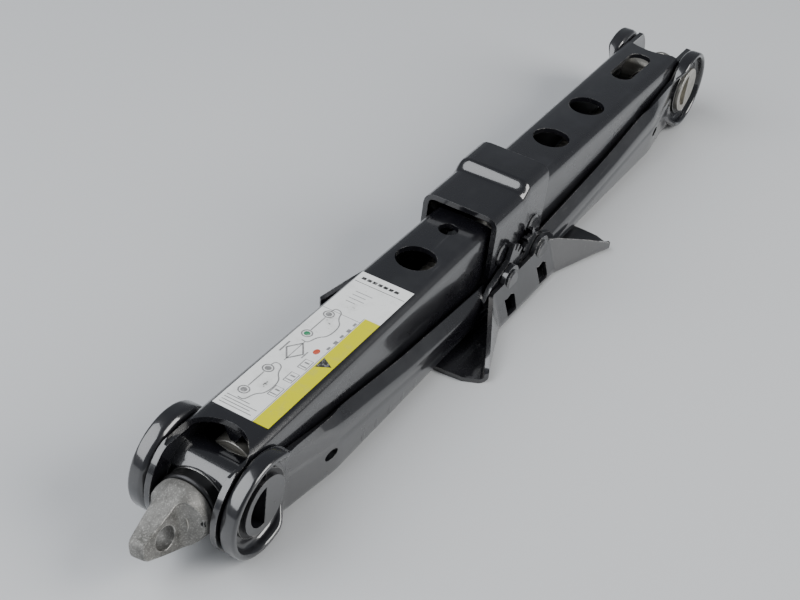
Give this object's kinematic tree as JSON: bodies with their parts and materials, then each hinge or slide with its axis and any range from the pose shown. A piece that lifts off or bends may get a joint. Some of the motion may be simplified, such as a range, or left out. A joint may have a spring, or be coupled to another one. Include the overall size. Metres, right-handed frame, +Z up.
{
  "type": "scissor car jack",
  "caption": "Folded scissor screw jack: four pressed channel arms geared to a splayed foot and a stepped saddle, with a screw through two trunnions.",
  "frame": {"origin": "on the ground, under the middle of the foot", "axes": "+X along the screw from the crank end to the nut end, +Z up, +Y to the left"},
  "size_m": [0.4192, 0.078, 0.049],
  "materials": {
    "black_paint": "gloss black paint, worn and scuffed",
    "forged_steel": "forged and blasted grey steel",
    "zinc_steel": "zinc-plated turned steel",
    "black_steel": "blackened steel",
    "bearing_steel": "ground bearing steel",
    "label": "printed white sticker"
  },
  "bodies": {
    "base": {"base_foot": "black_paint", "base_rivets": "zinc_steel"},
    "lower_arm_front": {"lower_arm_front": "black_paint"},
    "lower_arm_rear": {"lower_arm_rear": "black_paint"},
    "upper_arm_front": {"upper_arm_front": "black_paint", "rating_label": "label"},
    "upper_arm_rear": {"upper_arm_rear": "black_paint"},
    "head": {"head_saddle": "black_paint", "head_rivets": "zinc_steel"},
    "front_trunnion": {"front_trunnion": "zinc_steel", "front_circlips": "black_steel", "inner_race": "bearing_steel", "thrust_balls": "bearing_steel"},
    "rear_trunnion": {"rear_trunnion_nut": "zinc_steel", "rear_circlips": "black_steel"},
    "spindle": {"spindle": "zinc_steel", "drive_lug": "forged_steel", "drive_pin": "black_steel", "outer_race": "bearing_steel", "bearing_cup": "black_steel", "lock_collar": "zinc_steel", "lock_collar_pin": "black_steel", "end_stop": "zinc_steel"}
  },
  "joints": [
    {"name": "lift", "type": "hinge", "parent": "base", "child": "lower_arm_front", "pos_m": [-0.0135, 0, 0.015], "axis": [0, 1, 0], "range_deg": [0, 56]},
    {"name": "rear_lower_swing", "type": "hinge", "parent": "base", "child": "lower_arm_rear", "pos_m": [0.0135, 0, 0.015], "axis": [0, 1, 0], "range_deg": [-56, 0]},
    {"name": "front_upper_unfold", "type": "hinge", "parent": "lower_arm_front", "child": "upper_arm_front", "pos_m": [-0.18, 0, 0.02], "axis": [0, 1, 0], "range_deg": [-112, 0]},
    {"name": "rear_upper_unfold", "type": "hinge", "parent": "lower_arm_rear", "child": "upper_arm_rear", "pos_m": [0.18, 0, 0.02], "axis": [0, 1, 0], "range_deg": [0, 112]},
    {"name": "head_level", "type": "hinge", "parent": "upper_arm_front", "child": "head", "pos_m": [-0.0135, 0, 0.025], "axis": [0, 1, 0], "range_deg": [0, 56]},
    {"name": "front_trunnion_turn", "type": "hinge", "parent": "lower_arm_front", "child": "front_trunnion", "pos_m": [-0.18, 0, 0.02], "axis": [0, 1, 0], "range_deg": [-56, 0]},
    {"name": "rear_trunnion_turn", "type": "hinge", "parent": "lower_arm_rear", "child": "rear_trunnion", "pos_m": [0.18, 0, 0.02], "axis": [0, 1, 0], "range_deg": [0, 56]},
    {"name": "screw_turn", "type": "hinge", "parent": "front_trunnion", "child": "spindle", "pos_m": [-0.19, 0, 0.02], "axis": [1, 0, 0], "continuous": true}
  ],
  "couplings": [
    {"joint": "rear_lower_swing", "follows": "lift", "ratio": -1},
    {"joint": "front_upper_unfold", "follows": "lift", "ratio": -2},
    {"joint": "rear_upper_unfold", "follows": "lift", "ratio": 2},
    {"joint": "head_level", "follows": "lift", "ratio": 1},
    {"joint": "front_trunnion_turn", "follows": "lift", "ratio": -1},
    {"joint": "rear_trunnion_turn", "follows": "lift", "ratio": 1}
  ]
}
